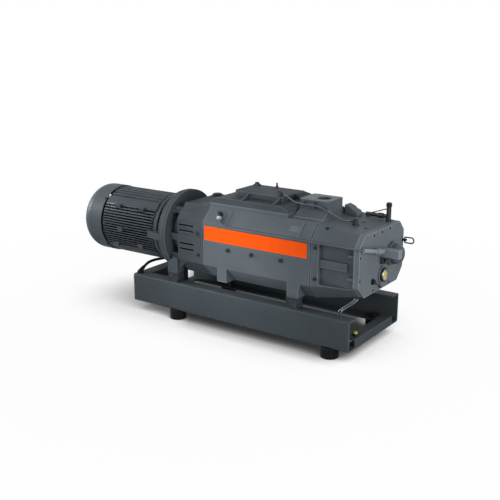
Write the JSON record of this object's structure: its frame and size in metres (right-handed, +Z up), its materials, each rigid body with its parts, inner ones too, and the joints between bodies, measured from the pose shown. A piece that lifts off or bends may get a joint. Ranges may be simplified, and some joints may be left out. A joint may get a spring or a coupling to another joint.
{
  "type": "dry screw vacuum pump",
  "caption": "Dry screw vacuum pump with a finned flange motor, vented coupling housing, ribbed pump body and oil sight glass on a channel base frame with rubber feet.",
  "frame": {"origin": "on the floor, under the middle of the whole machine", "axes": "+X along the shafts from the motor to the oil sight glass, +Y to the back, +Z up"},
  "size_m": [1.57, 0.517, 0.625],
  "materials": {
    "pump_paint": "satin slate grey paint on cast iron",
    "motor_paint": "satin slate grey paint",
    "base_paint": "darker satin grey powder coat",
    "plate_paint": "lighter satin grey paint",
    "black_rubber": "matt black",
    "cable_sheath": "matt black sheath",
    "spider_rubber": "moulded elastomer",
    "black_plastic": "matt black",
    "fan_plastic": "moulded dark plastic",
    "zinc_steel": "zinc plated",
    "bare_steel": "machined",
    "bright_tube": "bright drawn tube",
    "electrical_steel": "laminated",
    "copper_winding": "varnished winding",
    "rotor_iron": "machined iron",
    "sight_glass": "clear over yellow oil"
  },
  "bodies": {
    "machine": {"base_beam_front": "base_paint", "base_beam_rear": "base_paint", "base_cross_left": "base_paint", "base_cross_right": "base_paint", "machine_feet": "black_rubber", "vibration_mounts": "black_rubber", "mounting_studs": "zinc_steel", "motor_frame": "motor_paint", "motor_end_shield_drive": "motor_paint", "motor_flange_bolts": "zinc_steel", "motor_end_shield_fan": "motor_paint", "fan_cowl": "motor_paint", "motor_screws": "zinc_steel", "stator_core": "electrical_steel", "stator_windings": "copper_winding", "motor_bearings": "bare_steel", "terminal_box": "motor_paint", "terminal_box_lid": "motor_paint", "cable_gland": "black_plastic", "cable_entry": "black_rubber", "motor_cable": "cable_sheath", "coupling_housing": "pump_paint", "inspection_plug": "black_plastic", "cylinder_housing": "pump_paint", "screw_plugs": "zinc_steel", "casing_bolts": "zinc_steel", "temperature_sensor": "zinc_steel", "exhaust_flange": "pump_paint", "pump_bearings": "bare_steel", "shaft_seals": "black_rubber", "bearing_housing": "pump_paint", "end_plate": "plate_paint", "end_plate_bolts": "zinc_steel", "sight_glass_ring": "zinc_steel", "sight_glass_lens": "sight_glass", "shaft_end_cover": "plate_paint", "valve_block": "plate_paint", "top_cover": "pump_paint", "top_cover_bolts": "zinc_steel", "inlet_port": "pump_paint", "vent_block": "pump_paint", "gas_regulator": "zinc_steel", "gas_fittings": "zinc_steel", "metal_lines": "bright_tube", "sensor_conduit": "bright_tube", "coolant_sleeve": "bright_tube", "coolant_valve": "zinc_steel"},
    "motor_rotor": {"motor_shaft": "bare_steel", "motor_rotor_core": "electrical_steel", "cooling_fan": "fan_plastic", "coupling_hub_motor": "bare_steel"},
    "drive_screw": {"screw_rotor_drive": "rotor_iron", "timing_gear_drive": "bare_steel", "coupling_hub_pump": "bare_steel", "coupling_spider": "spider_rubber"},
    "driven_screw": {"screw_rotor_driven": "rotor_iron", "timing_gear_driven": "bare_steel"},
    "regulator_knob_body": {"regulator_knob": "black_plastic"},
    "valve_lever_body": {"valve_lever": "bare_steel"}
  },
  "joints": [
    {"name": "drive_screw_spin", "type": "hinge", "parent": "machine", "child": "drive_screw", "pos_m": [0.216, -0.0735, 0.385], "axis": [1, 0, 0], "continuous": true},
    {"name": "motor_spin", "type": "hinge", "parent": "machine", "child": "motor_rotor", "pos_m": [-0.484, -0.0735, 0.385], "axis": [1, 0, 0], "continuous": true},
    {"name": "driven_screw_spin", "type": "hinge", "parent": "machine", "child": "driven_screw", "pos_m": [0.216, 0.0565, 0.385], "axis": [1, 0, 0], "continuous": true},
    {"name": "regulator_knob_turn", "type": "hinge", "parent": "machine", "child": "regulator_knob_body", "pos_m": [0.668, 0.1095, 0.58], "axis": [0, 0, 1], "range_deg": [0, 270]},
    {"name": "valve_lever_turn", "type": "hinge", "parent": "machine", "child": "valve_lever_body", "pos_m": [0.712, 0.1815, 0.424], "axis": [0, 0, 1], "range_deg": [0, 90]}
  ],
  "couplings": [
    {"joint": "motor_spin", "follows": "drive_screw_spin", "ratio": 1},
    {"joint": "driven_screw_spin", "follows": "drive_screw_spin", "ratio": -1}
  ]
}
